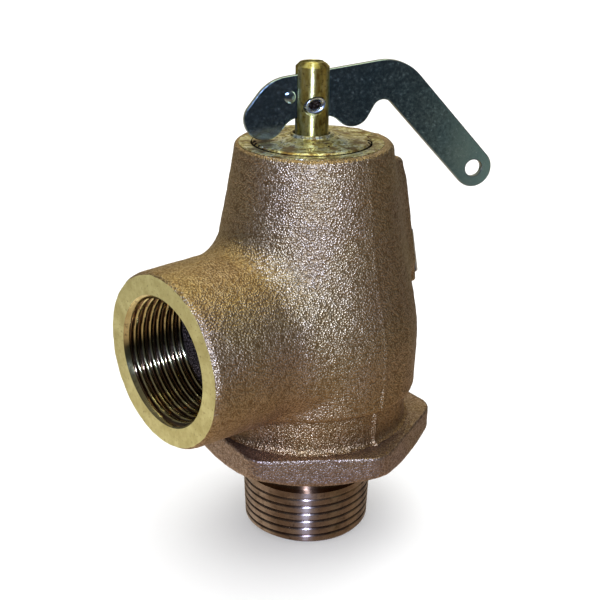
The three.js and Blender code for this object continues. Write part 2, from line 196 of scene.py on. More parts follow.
def softened(corners, steps=4):
    """An outline's points, with each (x, y, radius) corner rounded to that radius."""
    points = []
    for i, corner in enumerate(corners):
        here = Vector(corner[:2])
        if len(corner) < 3:
            points.append(tuple(here))
            continue
        before = Vector(corners[i - 1][:2]) - here
        after = Vector(corners[(i + 1) % len(corners)][:2]) - here
        reach = corner[2] / math.tan(before.angle(after) / 2)
        start = here + before.normalized() * reach
        end = here + after.normalized() * reach
        for k in range(steps + 1):
            t = k / steps
            points.append(tuple((1 - t) ** 2 * start + 2 * t * (1 - t) * here + t * t * end))
    return points


def refined(profile, low, high, step):
    """The profile with extra rows between two heights, close enough together to carry a thread."""
    rows = [profile[0]]
    for (r0, z0), (r1, z1) in zip(profile, profile[1:]):
        inside = min(z0, z1) >= low - 0.01 and max(z0, z1) <= high + 0.01 and min(r0, r1) > 0
        count = max(1, math.ceil(abs(z1 - z0) / step)) if inside else 1
        rows += [(r0 + (r1 - r0) * k / count, z0 + (z1 - z0) * k / count) for k in range(1, count + 1)]
    return rows


def turned(profile, segments=128, ripple=None, closed=False):
    """Points and faces of a solid turned from (radius, height) rows: axis to axis, or a closed loop round a bore."""
    rows = np.array(profile if closed else profile[1:-1], float)
    angle = np.linspace(0, TURN, segments, endpoint=False)[None, :]
    radius = rows[:, :1] + (ripple(rows[:, 1:], angle) if ripple else 0 * angle)
    height = rows[:, 1:] + 0 * angle
    points = np.stack([radius * np.cos(angle), radius * np.sin(angle), height], axis=2).reshape(-1, 3).tolist()
    count = len(rows)
    faces = []
    for i in range(count if closed else count - 1):
        low, high = i * segments, (i + 1) % count * segments
        for k in range(segments):
            following = (k + 1) % segments
            faces.append((low + k, low + following, high + following, high + k))
    if not closed:
        for row, pole, order in ((0, profile[0], -1), (count - 1, profile[-1], 1)):
            points.append([0, 0, pole[1]])
            tip = len(points) - 1
            ring = [row * segments + k for k in range(segments)]
            faces += [(a, b, tip)[::order] for a, b in zip(ring, ring[1:] + ring[:1])]
    return points, faces


def lofted(outlines, heights):
    """Points and faces of a closed solid through outlines with as many points each, one at each height."""
    count = len(outlines[0])
    points = [(x, y, z) for outline, z in zip(outlines, heights) for x, y in outline]
    faces = [tuple(range(count))[::-1], tuple(range(len(points) - count, len(points)))]
    for level in range(len(outlines) - 1):
        for k in range(count):
            a, b = level * count + k, level * count + (k + 1) % count
            faces.append((a, b, b + count, a + count))
    return points, faces


def swept(path, radius, sides=14):
    """Points and faces of a round bar along a path that turns about Z."""
    points, faces = [], []
    for i, here in enumerate(path):
        forward = (path[min(i + 1, len(path) - 1)] - path[max(i - 1, 0)]).normalized()
        outward = Vector((here.x, here.y, 0)).normalized()
        upward = forward.cross(outward).normalized()
        outward = upward.cross(forward)
        for k in range(sides):
            angle = TURN * k / sides
            points.append(here + radius * (outward * math.cos(angle) + upward * math.sin(angle)))
    for i in range(len(path) - 1):
        for k in range(sides):
            a, b = i * sides + k, i * sides + (k + 1) % sides
            faces.append((a, b, b + sides, a + sides))
    faces += [tuple(range(sides))[::-1], tuple(range(len(points) - sides, len(points)))]
    return points, faces


def belt(circles, steps=48):
    """A belt round a run of circles (x, y, radius), anticlockwise. A negative radius is a hollow curve."""
    def normal_angle(one, two):
        x, y = two[0] - one[0], two[1] - one[1]
        return math.atan2(y, x) - math.pi / 2 + math.asin((one[2] - two[2]) / math.hypot(x, y))

    points = []
    for i, circle in enumerate(circles):
        start = normal_angle(circles[i - 1], circle)
        sweep = (normal_angle(circle, circles[(i + 1) % len(circles)]) - start) % TURN
        if circle[2] < 0:
            sweep -= TURN
        count = max(3, math.ceil(abs(sweep) / TURN * steps))
        for k in range(count + 1):
            angle = start + sweep * k / count
            points.append((circle[0] + circle[2] * math.cos(angle), circle[1] + circle[2] * math.sin(angle)))
    return points


def settle(made):
    """Turns an object's modifiers into mesh."""
    evaluated = made.evaluated_get(bpy.context.evaluated_depsgraph_get())
    mesh = bpy.data.meshes.new_from_object(evaluated)
    made.modifiers.clear()
    made.data = mesh
    return made


def combine(target, other, operation):
    """Joins, cuts or intersects target with other, which is used up."""
    modifier = target.modifiers.new("Combine", "BOOLEAN")
    modifier.object = other
    modifier.operation = operation
    modifier.solver = "MANIFOLD"
    bpy.context.view_layer.update()
    settle(target)
    bpy.data.objects.remove(other)
    return target


def smooth(made, angle=32):
    """Shades an object smooth up to an angle in degrees between faces, and up to where its material changes."""
    made.data.shade_smooth()
    made.data.set_sharp_from_angle(angle=math.radians(angle))
    edges = bmesh.new()
    edges.from_mesh(made.data)
    for edge in edges.edges:
        if len({face.material_index for face in edge.link_faces}) > 1:
            edge.smooth = False
    edges.to_mesh(made.data)
    edges.free()
    return made


def marked(made, index):
    """Gives all of an object's faces the material in that slot."""
    for polygon in made.data.polygons:
        polygon.material_index = index
    return made


# ---- solids as distance fields: negative inside, in millimetres ----
def round_union(a, b, radius):
    """Two solids joined with a fillet."""
    return np.maximum(radius, np.minimum(a, b)) - np.hypot(np.maximum(radius - a, 0), np.maximum(radius - b, 0))


def round_meet(a, b, radius):
    """Where two solids overlap, with its edge rounded."""
    return -round_union(-a, -b, radius)


def body_field(x, y, z):
    """The body casting's outer shape."""
    shift = CONE_SHIFT * np.clip((z - 62) / 36, 0, 1)
    across = np.hypot(x - shift * math.cos(CAMERA_HEADING), y + shift * math.sin(CAMERA_HEADING))
    radius = sum(np.interp(z + step, BOWL_HEIGHTS, BOWL_RADII) for step in (-2, -1, 0, 1, 2)) / 5
    bowl = round_meet((across - radius) * 0.98, z - (body_high.z - RIM_STEP), SHOULDER_ROUND)
    bowl = round_meet(bowl, NECK_TOP - z, BOWL_ROUND)
    ends = np.clip((z - PAD_BOTTOM) / 6, 0.25, 1) * np.clip((PAD_TOP + 1 - z) / 7, 0.12, 1)
    pad, pad_face = pad_field(x, y, z)
    bowl = np.maximum(round_union(bowl, pad, PAD_FILLET * ends), pad_face)
    girth = BOSS_R + BOSS_TAPER * (OUTLET_FACE + x)
    boss = round_meet(np.hypot(y, z - OUTLET_Z) - girth, -x - OUTLET_FACE - 0.7, 2.2)
    boss = np.maximum(boss, x)
    above = np.clip((z - OUTLET_Z + BOSS_R) / 12, 0.6, 1)
    bowl = round_union(bowl, boss, BOSS_FILLET * above)
    neck = round_union(across - NECK_R, z - HEX_TOP - 0.05, NECK_FLARE)
    neck = np.maximum(neck, np.maximum(across - NECK_R - 0.85 * NECK_FLARE, z - NECK_TOP - 4))
    return round_union(bowl, np.maximum(neck, HEX_TOP - 0.4 - z), 0.3) - seam(x, y, z)


def pad_field(x, y, z):
    """The nameplate pad and the plane of its face, which leans with the cone."""
    slope = (PAD_BOTTOM_X - PAD_TOP_X) / (PAD_TOP - PAD_BOTTOM)
    face = (x - PAD_BOTTOM_X + slope * (z - PAD_BOTTOM)) * math.cos(math.atan(slope))
    block = round_meet(np.abs(y) - PAD_HALF_WIDTH, face, 1.4)
    block = round_meet(block, z - PAD_TOP, 1.6)
    return np.maximum(round_meet(block, PAD_BOTTOM - z, 1.0), 6 - x), face


def seam(x, y, z):
    """Height of the parting-line ridge, which fades up the cone."""
    height = np.interp(z, [NECK_TOP, 52, 75, 100], [0.5, 0.32, 0.12, 0.1])
    wander = 0.35 * np.sin(z / 7)
    return height * np.exp(-((x - wander) / 0.55) ** 2) * (np.abs(y) > 8)


def hexagon_field(x, y, z):
    """The nozzle's hexagon: rounded corners, a turned chamfer below."""
    x, y = x - HEX_SHIFT * math.cos(CAMERA_HEADING), y + HEX_SHIFT * math.sin(CAMERA_HEADING)
    across = np.hypot(x, y)
    angle = (np.arctan2(y, x) - HEX_TURN + TURN / 12) % (TURN / 6) - TURN / 12
    out, along = across * np.cos(angle), np.abs(across * np.sin(angle))
    inner = HEX_APOTHEM - HEX_CORNER_R
    corner = np.maximum(along - inner * math.tan(TURN / 12), 0)
    prism = np.where(out > inner, np.hypot(np.maximum(out - inner, 0), corner), out - inner) - HEX_CORNER_R
    chamfer = (across - HEX_CHAMFER_R - 2 * (z - HEX_BOTTOM)) * math.cos(math.atan(2))
    prism = round_meet(prism, z - HEX_TOP, 0.35)
    return round_meet(round_meet(prism, HEX_BOTTOM - z, 0.5), chamfer, 0.5)


def slope_of(field, points):
    """A field's value and its gradient at points."""
    tiny = 0.05
    columns = []
    for axis in range(3):
        shift = np.zeros(3)
        shift[axis] = tiny
        columns.append((field(*(points + shift).T) - field(*(points - shift).T)) / (2 * tiny))
    return field(*points.T), np.stack(columns, axis=1)


def sand_grain(points, coarse, fine):
    """Height of a sand-cast surface at points: broad waviness and grains."""
    return np.array([
        coarse * noise.noise(p / 9) + fine * noise.noise(p / 2.2) + 0.5 * fine * noise.noise(p / 1.1)
        for p in map(Vector, points)
    ])


def casting(name, field, low, high, coarse, fine, materials):
    """A cast skin: a mesh on the field's surface, roughened like sand casting."""
    size = [math.ceil((b - a) / SKIN_STEP) for a, b in zip(low, high)]
    place = [a + SKIN_STEP * np.arange(n) for a, n in zip(low, size)]
    grid = openvdb.FloatGrid()
    grid.copyFromArray(field(*np.meshgrid(*place, indexing="ij")).astype(np.float32))
    points, faces = grid.convertToQuads(isovalue=0.0)
    points = points.astype(float) * SKIN_STEP + np.array(low)
    for _ in range(3):
        value, gradient = slope_of(field, points)
        steepness = np.maximum((gradient ** 2).sum(1), 0.3)
        points -= gradient * (value / steepness)[:, None]
    gradient = slope_of(field, points)[1]
    outward = gradient / np.maximum(np.linalg.norm(gradient, axis=1), 0.3)[:, None]
    points += outward * sand_grain(points, coarse, fine)[:, None]
    return make_object(name, points.tolist(), faces.tolist(), materials)


# ---- threads ----
def groove_thread(low, high, depth, width, fade_low, fade_high):
    """Radius to add at (height, angle) for right-handed grooves that take up width of the pitch, fading at the ends."""
    def ripple(height, angle):
        phase = np.abs((height / PIPE_PITCH - angle / TURN) % 1 - 0.5) * 2
        groove = np.clip((width - phase) / width * 1.15, 0, 1)
        groove = groove * groove * (3 - 2 * groove) * 0.4 + groove * 0.6
        fade = np.clip((height - low) / fade_low, 0, 1) * np.clip((high - height) / fade_high, 0, 1)
        return depth * groove * fade
    return ripple


# ---- materials ----
class Finish:
    """A Principled material built from nodes, with patterns sized in millimetres on the object itself."""

    def __init__(self, name, **settings):
        self.material = bpy.data.materials.new(name)
        self.material.use_nodes = True
        self.tree = self.material.node_tree
        self.shader = self.tree.nodes["Principled BSDF"]
        for socket, value in settings.items():
            self.shader.inputs[socket.replace("_", " ")].default_value = value
        self.place = self.node("ShaderNodeTexCoord").outputs["Object"]

    def node(self, kind, inputs=None, **settings):
        made = self.tree.nodes.new(kind)
        for name, value in settings.items():
            setattr(made, name, value)
        for name, value in (inputs or {}).items():
            if isinstance(value, bpy.types.NodeSocket):
                self.tree.links.new(value, made.inputs[name])
            else:
                made.inputs[name].default_value = value
        return made

    def noise(self, size, detail=3.0, roughness=0.55, stretch=(1, 1, 1), distortion=0.0):
        """Noise with features of about that size, from 0 to 1."""
        scaled = self.node("ShaderNodeMapping", {"Vector": self.place, "Scale": stretch})
        return self.node("ShaderNodeTexNoise", {
            "Vector": scaled.outputs["Vector"], "Scale": 1 / (size * MM), "Detail": detail,
            "Roughness": roughness, "Distortion": distortion,
        }).outputs["Fac"]

    def cells(self, size, feature="F1"):
        """Distance within cells of about that size."""
        return self.node("ShaderNodeTexVoronoi", {"Vector": self.place, "Scale": 1 / (size * MM)},
                         feature=feature).outputs["Distance"]

    def ramp(self, factor, *stops):
        """A colour for each value of factor, from (position, colour) stops."""
        made = self.node("ShaderNodeValToRGB", {"Fac": factor})
        elements = made.color_ramp.elements
        while len(elements) < len(stops):
            elements.new(1.0)
        for element, (position, colour) in zip(elements, stops):
            element.position = position
            element.color = (*colour, 1.0)
        return made.outputs["Color"]

    def range(self, value, low, high, to_low=0.0, to_high=1.0):
        return self.node("ShaderNodeMapRange", {
            "Value": value, "From Min": low, "From Max": high, "To Min": to_low, "To Max": to_high,
        }).outputs["Result"]

    def mix(self, factor, a, b, blend="MIX"):
        made = self.node("ShaderNodeMix", data_type="RGBA", blend_type=blend)
        for socket, value in ((0, factor), (6, a), (7, b)):
            if isinstance(value, bpy.types.NodeSocket):
                self.tree.links.new(value, made.inputs[socket])
            else:
                made.inputs[socket].default_value = value if socket == 0 else (*value, 1.0)
        return made.outputs[2]

    def maths(self, operation, a, b):
        made = self.node("ShaderNodeMath", operation=operation)
        for socket, value in ((0, a), (1, b)):
            if isinstance(value, bpy.types.NodeSocket):
                self.tree.links.new(value, made.inputs[socket])
            else:
                made.inputs[socket].default_value = value
        return made.outputs[0]

    def bump(self, height, distance, strength=1.0, below=None):
        """Bumps whose full height is distance millimetres, on top of others."""
        inputs = {"Height": height, "Distance": distance * MM, "Strength": strength}
        if below is not None:
            inputs["Normal"] = below
        return self.node("ShaderNodeBump", inputs).outputs["Normal"]

    def rings(self, axis, spacing, shift=(0, 0, 0)):
        """Turning marks round an axis, spacing millimetres apart."""
        moved = self.node("ShaderNodeMapping", {"Vector": self.place, "Location": Vector(shift) * MM})
        return self.node("ShaderNodeTexWave", {
            "Vector": moved.outputs["Vector"], "Scale": 0.314 / (spacing * MM), "Distortion": 1.0, "Detail": 2.0,
            "Detail Scale": 0.3,
        }, wave_type="RINGS", rings_direction=axis).outputs["Fac"]

    def painted_shade(self, colour, reach, dark, closed=0.32, open_from=0.72):
        """The colour with painted shade: darkened where walls within reach millimetres close a place in."""
        openness = self.node("ShaderNodeAmbientOcclusion", {"Distance": reach * MM}, samples=8).outputs["AO"]
        shade = self.ramp(openness, (closed, dark), (open_from, (1.0, 1.0, 1.0)))
        return self.mix(1.0, colour, shade, "MULTIPLY")

    def done(self, **sockets):
        for name, value in sockets.items():
            self.tree.links.new(value, self.shader.inputs[name.replace("_", " ")])
        return self.material


def cast_bronze(name, depth, crease_shade, pits, mean, tops):
    """Sand-cast bronze: grains of that depth, dark in the pits, with painted shade in pockets and where parts meet,
    browner low on the valve.
    """
    finish = Finish(name, Metallic=1.0)
    grain = finish.range(finish.cells(0.5), 0.0, 0.75, 1.0, 0.0)
    lumps = finish.noise(1.2, detail=4, roughness=0.65)
    patches = finish.noise(16, detail=3, roughness=0.5)
    relief = finish.maths("ADD", finish.maths("MULTIPLY", grain, 0.35), finish.maths("MULTIPLY", lumps, 0.65))
    tone = finish.ramp(relief, (0.30, pits), (0.48, mean), (0.66, tops))
    tarnish = finish.ramp(patches, (0.35, (1.0, 0.95, 0.80)), (0.65, (0.97, 0.91, 0.92)))
    colour = finish.mix(1.0, tone, tarnish, "MULTIPLY")
    # Painted shade: near-black where walls within 6 mm close in, such as the pocket under the boss.
    colour = finish.painted_shade(colour, 6, (0.07, 0.035, 0.02), 0.22, 0.60)
    height = finish.node("ShaderNodeSeparateXYZ", {"Vector": finish.place}).outputs["Z"]
    # Painted shade in a band 33 to 35.5 mm up, where the neck meets the hexagon: darkened where walls within 3 mm close
    # in.
    shaded_joins = finish.painted_shade(colour, 3, crease_shade, 0.40, 0.88)
    colour = finish.mix(finish.range(height, 0.0330, 0.0355), colour, shaded_joins)
    browning = finish.ramp(finish.range(height, 0.036, 0.054), (0.0, (1.0, 0.89, 0.76)), (1.0, (1.0, 1.0, 1.0)))
    colour = finish.mix(1.0, colour, browning, "MULTIPLY")
    rough = finish.range(relief, 0.30, 0.70, 0.53, 0.34)
    normal = finish.bump(lumps, depth, 1.0)
    normal = finish.bump(grain, depth, 1.0, normal)
    return finish.done(Base_Color=colour, Roughness=rough, Normal=normal)


def machined_brass():
    """Freshly machined faces of the body: pale yellow-green, with a few specks."""
    finish = Finish("machined_brass", Metallic=1.0)
    patches = finish.noise(5, detail=5, roughness=0.7)
    specks = finish.noise(0.8, detail=3)
    colour = finish.ramp(patches, (0.35, (0.59, 0.51, 0.21)), (0.65, (0.77, 0.71, 0.35)))
    colour = finish.mix(finish.range(specks, 0.60, 0.75), colour, (0.36, 0.28, 0.12))
    rough = finish.range(patches, 0.3, 0.7, 0.46, 0.36)
    normal = finish.bump(finish.rings("X", 0.5, (0, 0, -OUTLET_Z)), 0.004, 1.0)
    normal = finish.bump(finish.noise(0.5, detail=2), 0.03, 0.6, normal)
    return finish.done(Base_Color=colour, Roughness=rough, Normal=normal)


def thread_bronze(name, axis, dark, mean, light, dullness=0.0):
    """Turned bronze that has tarnished brown and purple, its highlights stretched along the thread's axis. Given dark
    tones, it serves as painted shade.
    """
    finish = Finish(name, Metallic=1.0, Anisotropic=0.95, Anisotropic_Rotation=0.25)
    patches = finish.noise(7, detail=4, roughness=0.6, distortion=0.6)
    grime = finish.noise(1.6, detail=4, roughness=0.7)
    colour = finish.ramp(patches, (0.30, dark), (0.5, mean), (0.70, light))
    colour = finish.mix(finish.range(grime, 0.55, 0.75), colour, (0.12, 0.07, 0.04))
    rough = finish.range(grime, 0.3, 0.7, dullness + 0.24, dullness + 0.36)
    tangent = finish.node("ShaderNodeTangent", direction_type="RADIAL", axis=axis).outputs["Tangent"]
    normal = finish.bump(finish.noise(0.4, detail=3), 0.008, 0.6)
    return finish.done(Base_Color=colour, Roughness=rough, Normal=normal, Tangent=tangent)


def stem_brass():
    """Polished brass bar stock, with streaks of olive and brown tarnish."""
    finish = Finish("stem_brass", Metallic=1.0, Anisotropic=0.95, Anisotropic_Rotation=0.25)
    streaks = finish.noise(1.6, detail=4, roughness=0.6, stretch=(1, 1, 0.35))
    specks = finish.noise(0.9, detail=3, roughness=0.6)
    colour = finish.ramp(streaks, (0.32, (0.26, 0.16, 0.03)), (0.5, (0.60, 0.49, 0.15)), (0.68, (0.82, 0.74, 0.36)))
    colour = finish.mix(finish.range(specks, 0.56, 0.72), colour, (0.22, 0.15, 0.04))
    rough = finish.range(specks, 0.3, 0.7, 0.38, 0.50)
    tangent = finish.node("ShaderNodeTangent", direction_type="RADIAL", axis="Z").outputs["Tangent"]
    normal = finish.bump(specks, 0.03, 0.5)
    return finish.done(Base_Color=colour, Roughness=rough, Normal=normal, Tangent=tangent)


def cap_brass():
    """The compression screw's face: turned brass gone blotchy, with painted shade that darkens it brown round its edge
    and in its corners.
    """
    finish = Finish("cap_brass", Metallic=1.0)
    blotches = finish.noise(2.4, detail=5, roughness=0.7, distortion=0.8)
    stains = finish.noise(4.5, detail=4, roughness=0.6)
    colour = finish.ramp(blotches, (0.36, (0.22, 0.14, 0.04)), (0.48, (0.66, 0.57, 0.24)), (0.60, (0.98, 0.95, 0.74)))
    colour = finish.mix(finish.range(stains, 0.48, 0.60), colour, (0.24, 0.15, 0.05))
    colour = finish.mix(finish.range(finish.noise(0.9, detail=3), 0.56, 0.66), colour, (0.12, 0.06, 0.03))
    # Painted shade: brown where walls within 1.5 mm close in, as round the edge, the collar and the dents.
    colour = finish.painted_shade(colour, 1.5, (0.15, 0.08, 0.04))
    rough = finish.range(blotches, 0.3, 0.7, 0.50, 0.30)
    normal = finish.bump(finish.rings("Z", 0.7), 0.012, 1.0)
    normal = finish.bump(blotches, 0.12, 0.8, normal)
    return finish.done(Base_Color=colour, Roughness=rough, Normal=normal)


def zinc_plate():
    """Bright zinc with a blue passivate: smooth, with fine scuffs."""
    finish = Finish("zinc_plate", Metallic=1.0)
    patches = finish.noise(8, detail=4, roughness=0.6)
    scuffs = finish.noise(0.8, detail=4, roughness=0.7)
    colour = finish.ramp(patches, (0.3, (0.25, 0.33, 0.37)), (0.7, (0.35, 0.41, 0.42)))
    colour = finish.mix(finish.range(scuffs, 0.60, 0.78), colour, (0.62, 0.72, 0.74))
    rough = finish.range(scuffs, 0.40, 0.75, 0.10, 0.26)
    normal = finish.bump(finish.noise(1.4, detail=3), 0.008, 0.6)
    return finish.done(Base_Color=colour, Roughness=rough, Normal=normal)


def plain_metal(name, low, high, roughness):
    """A ground or drawn metal between two tones."""
    finish = Finish(name, Metallic=1.0)
    patches = finish.noise(3, detail=4, roughness=0.6)
    colour = finish.ramp(patches, (0.3, low), (0.7, high))
    rough = finish.range(patches, 0.3, 0.7, roughness + 0.08, roughness - 0.06)
    normal = finish.bump(finish.noise(0.6, detail=2), 0.01, 0.5)
    return finish.done(Base_Color=colour, Roughness=rough, Normal=normal)


def plate_metal():
    """Brushed aluminium of the blank nameplate."""
    finish = Finish("plate_aluminium", Metallic=1.0)
    brushing = finish.noise(0.5, detail=3, stretch=(1, 0.04, 1))
    colour = finish.ramp(brushing, (0.3, (0.62, 0.66, 0.72)), (0.7, (0.80, 0.83, 0.87)))
    rough = finish.range(brushing, 0.3, 0.7, 0.40, 0.28)
    return finish.done(Base_Color=colour, Roughness=rough, Normal=finish.bump(brushing, 0.02, 0.6))


def soft_seat():
    """The white seat disc."""
    finish = Finish("soft_seat")
    mottle = finish.noise(2, detail=3)
    colour = finish.ramp(mottle, (0.3, (0.74, 0.72, 0.66)), (0.7, (0.84, 0.83, 0.78)))
    return finish.done(Base_Color=colour, Roughness=finish.range(mottle, 0.3, 0.7, 0.5, 0.38))


# The first colour given to each is the painted shade where the neck meets the hexagon.
CAST = cast_bronze(
    "cast_bronze", 0.155, (0.26, 0.15, 0.09), (0.25, 0.155, 0.07), (0.445, 0.315, 0.18), (0.58, 0.44, 0.30))
HEX_CAST = cast_bronze(
    "nozzle_bronze", 0.11, (0.8, 0.7, 0.6), (0.24, 0.17, 0.12), (0.39, 0.31, 0.26), (0.52, 0.44, 0.43))
# Near-black painted shade for the bores, chamber and passage, the pin's hollow, the punch marks and the cap's edge,
# where light doesn't reach.
SHADED_INSIDE = cast_bronze(
    "inside_painted_shade", 0.155, (1, 1, 1), (0.015, 0.010, 0.008), (0.03, 0.02, 0.015), (0.06, 0.04, 0.03))
MACHINED = machined_brass()
THREAD = thread_bronze("inlet_thread_bronze", "Z", (0.20, 0.125, 0.075), (0.275, 0.185, 0.135), (0.37, 0.275, 0.21))
# Painted shadow under the hexagon: near-black brown on the plain neck above the inlet thread.
UNDER_HEX_SHADE = thread_bronze("inlet_under_hex_shade", "Z", (0.05, 0.02, 0.01), (0.10, 0.05, 0.025), (0.16, 0.09, 0.05))
# Painted shade in the inlet thread's grooves: a darker copy of the thread bronze.
THREAD_ROOT_SHADE = thread_bronze("inlet_thread_root_shade", "Z", (0.08, 0.045, 0.03), (0.12, 0.07, 0.05), (0.16, 0.11, 0.085))
OUTLET_THREAD = thread_bronze(
    "outlet_thread_bronze", "X", (0.16, 0.085, 0.04), (0.27, 0.165, 0.09), (0.38, 0.26, 0.15), -0.15)
OUTLET_CREST = thread_bronze(
    "outlet_thread_crest", "X", (0.50, 0.40, 0.18), (0.66, 0.55, 0.28), (0.78, 0.68, 0.40), -0.15)
STEM_METAL = stem_brass()
CAP_METAL = cap_brass()
ZINC = zinc_plate()
STEEL = plain_metal("spring_steel", (0.42, 0.43, 0.45), (0.56, 0.57, 0.58), 0.3)
STAINLESS = plain_metal("stainless_steel", (0.62, 0.63, 0.65), (0.76, 0.77, 0.78), 0.22)
INNER_BRASS = plain_metal("inner_brass", (0.62, 0.50, 0.22), (0.78, 0.67, 0.34), 0.26)
PLATE = plate_metal()
SEAT = soft_seat()


# ---- placing ----
def install(made, body, slot, *nodes):
    """Puts a finished piece on its body, in place of the CAD nodes it stands for."""
    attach(made, body)
    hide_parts(*nodes)
    return made


def along_outlet():
    """Local Z becomes the distance from the stem out along the outlet."""
    return Matrix.Translation((0, 0, OUTLET_Z)) @ Matrix.Rotation(-TURN / 4, 4, "Y")


def lever_place():
    """Local X along the lever, Y up and Z out of its flat side, with the pin at the origin."""
    joint = next(j for j in frame["joints"] if j["name"] == "lever_pull")
    normal = Vector(joint["axis"]).normalized()
    upward = Vector((0, 0, 1))
    place = Matrix((upward.cross(normal), upward, normal)).transposed().to_4x4()
    place.translation = Vector(joint["pos_m"]) / MM
    return place


def pad_place():
    """Local X across the pad, Y up its slope and Z out of it, at the middle of the plate's back."""
    slope = math.atan2(PAD_BOTTOM_X - PAD_TOP_X, PAD_TOP - 1.6 - PAD_BOTTOM)
    outward = Vector((math.cos(slope), 0, math.sin(slope)))
    upward = Vector((-math.sin(slope), 0, math.cos(slope)))
    place = Matrix((upward.cross(outward), upward, outward)).transposed().to_4x4()
    place.translation = Vector((PAD_BOTTOM_X, 0, PAD_BOTTOM)) + 8.6 * upward
    return place


# ---- pressure parts ----
def valve_body():
    materials = (CAST, MACHINED, OUTLET_THREAD, SHADED_INSIDE, OUTLET_CREST, CAP_METAL)
    low = (-OUTLET_FACE - 2, -BOWL_R - 2, body_low.z - 2)
    high = (PAD_BOTTOM_X + 3, BOWL_R + 2, body_high.z + 2)
    body = casting("body_casting", body_field, low, high, 0.16, 0.10, materials)
    rim = [(0, 92), (RIM_R, 92), (RIM_R, body_high.z, 0.12), (0, body_high.z)]
    combine(body, marked(make_object("rim", *turned(softened(rim)), materials), 5), "UNION")
    combine(body, outlet_cutter(materials), "DIFFERENCE")
    combine(body, chamber_cutter(materials), "DIFFERENCE")
    return install(smooth(body, 50), "root", "cast_bronze", "valve_body")


def outlet_cutter(materials):
    """The outlet's face, thread and passage as one cutting solid."""
    start = OUTLET_FACE - OUTLET_THREAD_LENGTH
    profile = softened([
        (0, 6), (OUTLET_PASSAGE_R, 6), (OUTLET_PASSAGE_R, start - 1.5), (OUTLET_THREAD_R, start),
        (OUTLET_THREAD_R, OUTLET_FACE - 0.9), (OUTLET_RIM_R, OUTLET_FACE - 0.25), (OUTLET_RIM_R + 0.35, OUTLET_FACE),
        (BOSS_R + 4, OUTLET_FACE), (BOSS_R + 4, OUTLET_FACE + 4), (0, OUTLET_FACE + 4),
    ])
    profile = refined(profile, start, OUTLET_FACE - 0.9, 0.13)
    ripple = groove_thread(start - 0.5, OUTLET_FACE - 0.4, OUTLET_THREAD_DEPTH, 0.72, 1.2, 0.5)
    cutter = make_object("outlet_cutter", *turned(profile, 160, ripple), materials, along_outlet())
    for polygon in cutter.data.polygons:
        centre = polygon.center / MM
        # The passage beyond the thread gets the near-black painted shade.
        if -centre.x < start:
            polygon.material_index = 3
        elif -centre.x > OUTLET_FACE - 0.1:
            polygon.material_index = 1
        elif -centre.x > OUTLET_FACE - 0.9 or math.hypot(centre.y, centre.z - OUTLET_Z) < OUTLET_THREAD_R + 0.3:
            polygon.material_index = 4
        else:
            polygon.material_index = 2
    return cutter


def chamber_cutter(materials):
    """The neck bore, spring chamber and the bore for the compression screw."""
    spigot = SPIGOT_R + 0.3
    profile = softened([
        (0, 30), (spigot + 0.8, 30), (spigot + 0.8, body_low.z), (spigot, body_low.z + 0.8), (spigot, NECK_TOP),
        (CHAMBER_R, NECK_TOP + 2), (CHAMBER_R, 63), (20.7, 69), (15.6, 86), (PLUG_BORE_R, 91),
        (PLUG_BORE_R, body_high.z - 0.25), (PLUG_BORE_R + 0.25, body_high.z), (PLUG_BORE_R + 0.25, body_high.z + 3),
        (0, body_high.z + 3),
    ])
    # The chamber and bores get the near-black painted shade; the screw's seat at the top takes cap brass.
    cutter = marked(make_object("chamber_cutter", *turned(profile, 160), materials), 3)
    for polygon in cutter.data.polygons:
        if polygon.center.z > (body_high.z - 0.3) * MM:
            polygon.material_index = 5
    return cutter


def inlet_nozzle():
    materials = (HEX_CAST, MACHINED, THREAD, THREAD_ROOT_SHADE, UNDER_HEX_SHADE)
    reach = HEX_APOTHEM / math.cos(TURN / 12) + 2
    low, high = (-reach, -reach, HEX_BOTTOM - 2), (reach, reach, HEX_TOP + 2)
    nozzle = casting("nozzle_casting", hexagon_field, low, high, 0.10, 0.07, materials)
    thread_top_r = INLET_R + INLET_THREAD_TOP * PIPE_TAPER
    profile = softened([
        (0, 0), (INLET_R - 0.9, 0, 0.2), (INLET_R - 0.05, 0.9), (thread_top_r, INLET_THREAD_TOP),
        (INLET_NECK_R, INLET_THREAD_TOP + 0.8), (INLET_NECK_R, HEX_BOTTOM + 1), (SPIGOT_R, HEX_TOP - 1),
        (SPIGOT_R, nozzle_high.z - 6.4, 0.6), (14.4, nozzle_high.z - 6.4, 0.4), (14.4, nozzle_high.z - 3.4, 0.4),
        (11.3, nozzle_high.z - 0.9), (10.7, nozzle_high.z - 0.6), (10.7, nozzle_high.z, 0.15), (0, nozzle_high.z),
    ])
    profile = refined(profile, 0.5, INLET_THREAD_TOP + 0.9, 0.13)
    ripple = groove_thread(-0.8, INLET_THREAD_TOP - 0.9, -INLET_THREAD_DEPTH, 0.38, 0.4, 1.5)
    spigot = marked(make_object("spigot", *turned(profile, 160, ripple), materials), 2)
    for polygon in spigot.data.polygons:
        centre = polygon.center / MM
        crest = INLET_R + centre.z * PIPE_TAPER
        # The grooves of the thread take the painted shade.
        groove = crest - 2 < math.hypot(centre.x, centre.y) < crest - 0.2
        # The neck under the hexagon takes the painted shadow.
        if INLET_THREAD_TOP < centre.z < HEX_BOTTOM + 1:
            polygon.material_index = 4
        elif groove and centre.z < INLET_THREAD_TOP:
            polygon.material_index = 3
    combine(nozzle, spigot, "UNION")
    bore = softened([
        (0, -1), (INLET_BORE_R + 1.3, -1), (INLET_BORE_R + 0.5, 0), (INLET_BORE_R, 0.5), (INLET_BORE_R, 26, 2),
        (SEAT_R, 32, 2), (SEAT_R, nozzle_high.z + 1), (0, nozzle_high.z + 1),
    ])
    combine(nozzle, marked(make_object("inlet_cutter", *turned(bore, 128), materials), 2), "DIFFERENCE")
    return install(smooth(nozzle, 50), "root", "nozzle_bronze", "inlet_nozzle")


